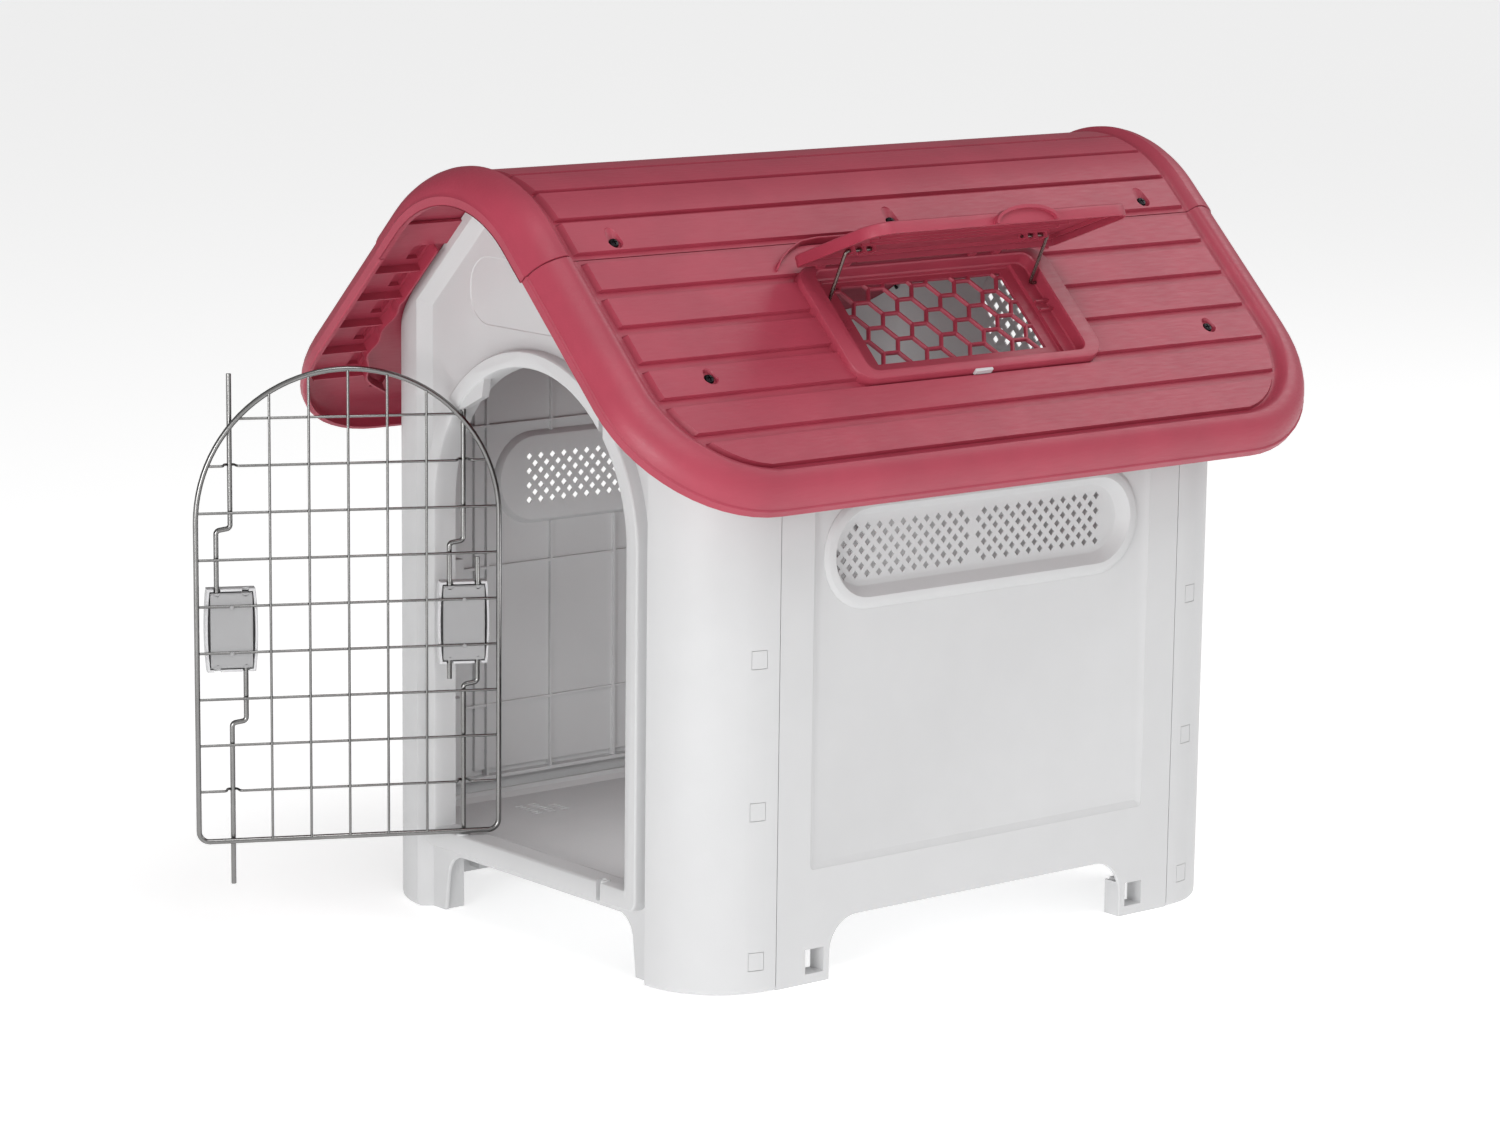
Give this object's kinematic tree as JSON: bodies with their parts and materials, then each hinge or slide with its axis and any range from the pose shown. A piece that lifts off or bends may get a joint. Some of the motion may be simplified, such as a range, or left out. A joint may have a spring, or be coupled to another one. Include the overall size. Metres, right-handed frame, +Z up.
{
  "type": "pet house",
  "caption": "Moulded pet house on short feet, with a gabled plank-pattern roof, a skylight with a propped lid, side vents and an arched wire door held by sprung rods.",
  "frame": {"origin": "bottom centre of the bounding box with the door and the skylight lid open as stored, at ground level; the middle of the house itself is at Y = +0.0620 m", "axes": "+Z up; -Y towards the side with the doorway; +X towards the roof slope with the skylight; the roof ridge runs along Y"},
  "size_m": [0.5764, 0.8835, 0.6552],
  "materials": {
    "shell_grey": "fine grained moulding",
    "roof_red": "fine grained moulding",
    "pale_plastic": "smooth",
    "grey_plastic": "smooth",
    "zinc_wire": "zinc plated wire",
    "dark_steel": "dark plated wire",
    "black_steel": "blackened screw"
  },
  "bodies": {
    "house": {"front_panel": "shell_grey", "back_panel": "shell_grey", "side_wall_right": "shell_grey", "side_wall_left": "shell_grey", "floor_tray": "shell_grey", "roof_panel_left": "roof_red", "roof_panel_right": "roof_red", "ridge_cap": "roof_red", "lid_catch": "pale_plastic", "lid_hinge_pin_front": "dark_steel", "lid_hinge_pin_back": "dark_steel", "cap_screw_right_front": "black_steel", "cap_screw_right_middle": "black_steel", "cap_screw_right_back": "black_steel", "slope_screw_right_front": "black_steel", "slope_screw_right_back": "black_steel", "cap_screw_left_front": "black_steel", "cap_screw_left_middle": "black_steel", "cap_screw_left_back": "black_steel", "slope_screw_left_front": "black_steel", "slope_screw_left_back": "black_steel"},
    "lid": {"skylight_lid": "roof_red"},
    "prop_front": {"lid_prop_front": "dark_steel"},
    "prop_back": {"lid_prop_back": "dark_steel"},
    "door": {"door_grid": "zinc_wire", "hinge_latch_case": "pale_plastic", "hinge_latch_tray": "grey_plastic", "free_latch_case": "pale_plastic", "free_latch_tray": "grey_plastic", "hinge_upper_spring": "dark_steel", "hinge_lower_spring": "dark_steel", "free_upper_spring": "dark_steel", "free_lower_spring": "dark_steel"},
    "hinge_upper_rod": {"hinge_upper_rod": "zinc_wire"},
    "hinge_lower_rod": {"hinge_lower_rod": "zinc_wire"},
    "free_upper_rod": {"free_upper_rod": "zinc_wire"},
    "free_lower_rod": {"free_lower_rod": "zinc_wire"}
  },
  "joints": [
    {"name": "door_swing", "type": "hinge", "parent": "house", "child": "door", "pos_m": [-0.0985, -0.23298, 0.26], "axis": [0, 0, 1], "range_deg": [-25, 116]},
    {"name": "hinge_upper_rod_slide", "type": "slide", "parent": "door", "child": "hinge_upper_rod", "axis": [0, 0, 1], "range_m": [-0.019, 0], "stiffness_N_per_m": 250, "springref_m": 0.02, "deforming": ["hinge_upper_spring"]},
    {"name": "hinge_lower_rod_slide", "type": "slide", "parent": "door", "child": "hinge_lower_rod", "axis": [0, 0, 1], "range_m": [0, 0.01], "stiffness_N_per_m": 250, "springref_m": -0.02, "deforming": ["hinge_lower_spring"]},
    {"name": "free_upper_rod_slide", "type": "slide", "parent": "door", "child": "free_upper_rod", "axis": [0, 0, 1], "range_m": [-0.036, 0], "stiffness_N_per_m": 250, "springref_m": 0.02, "deforming": ["free_upper_spring"]},
    {"name": "free_lower_rod_slide", "type": "slide", "parent": "door", "child": "free_lower_rod", "axis": [0, 0, 1], "range_m": [0, 0.036], "stiffness_N_per_m": 250, "springref_m": -0.02, "deforming": ["free_lower_spring"]},
    {"name": "lid_swing", "type": "hinge", "parent": "house", "child": "lid", "pos_m": [0.14619, 0.06202, 0.57893], "axis": [0, 1, 0], "range_deg": [0, 64]},
    {"name": "prop_front_fold", "type": "hinge", "parent": "lid", "child": "prop_front", "pos_m": [0.17814, -0.04998, 0.59056], "axis": [0, -1, 0], "range_deg": [0, 135.8]},
    {"name": "prop_back_fold", "type": "hinge", "parent": "lid", "child": "prop_back", "pos_m": [0.17814, 0.17402, 0.59056], "axis": [0, -1, 0], "range_deg": [0, 135.8]}
  ],
  "couplings": [
    {"joint": "prop_front_fold", "follows": "lid_swing", "ratio": 2.12},
    {"joint": "prop_back_fold", "follows": "lid_swing", "ratio": 2.12}
  ]
}
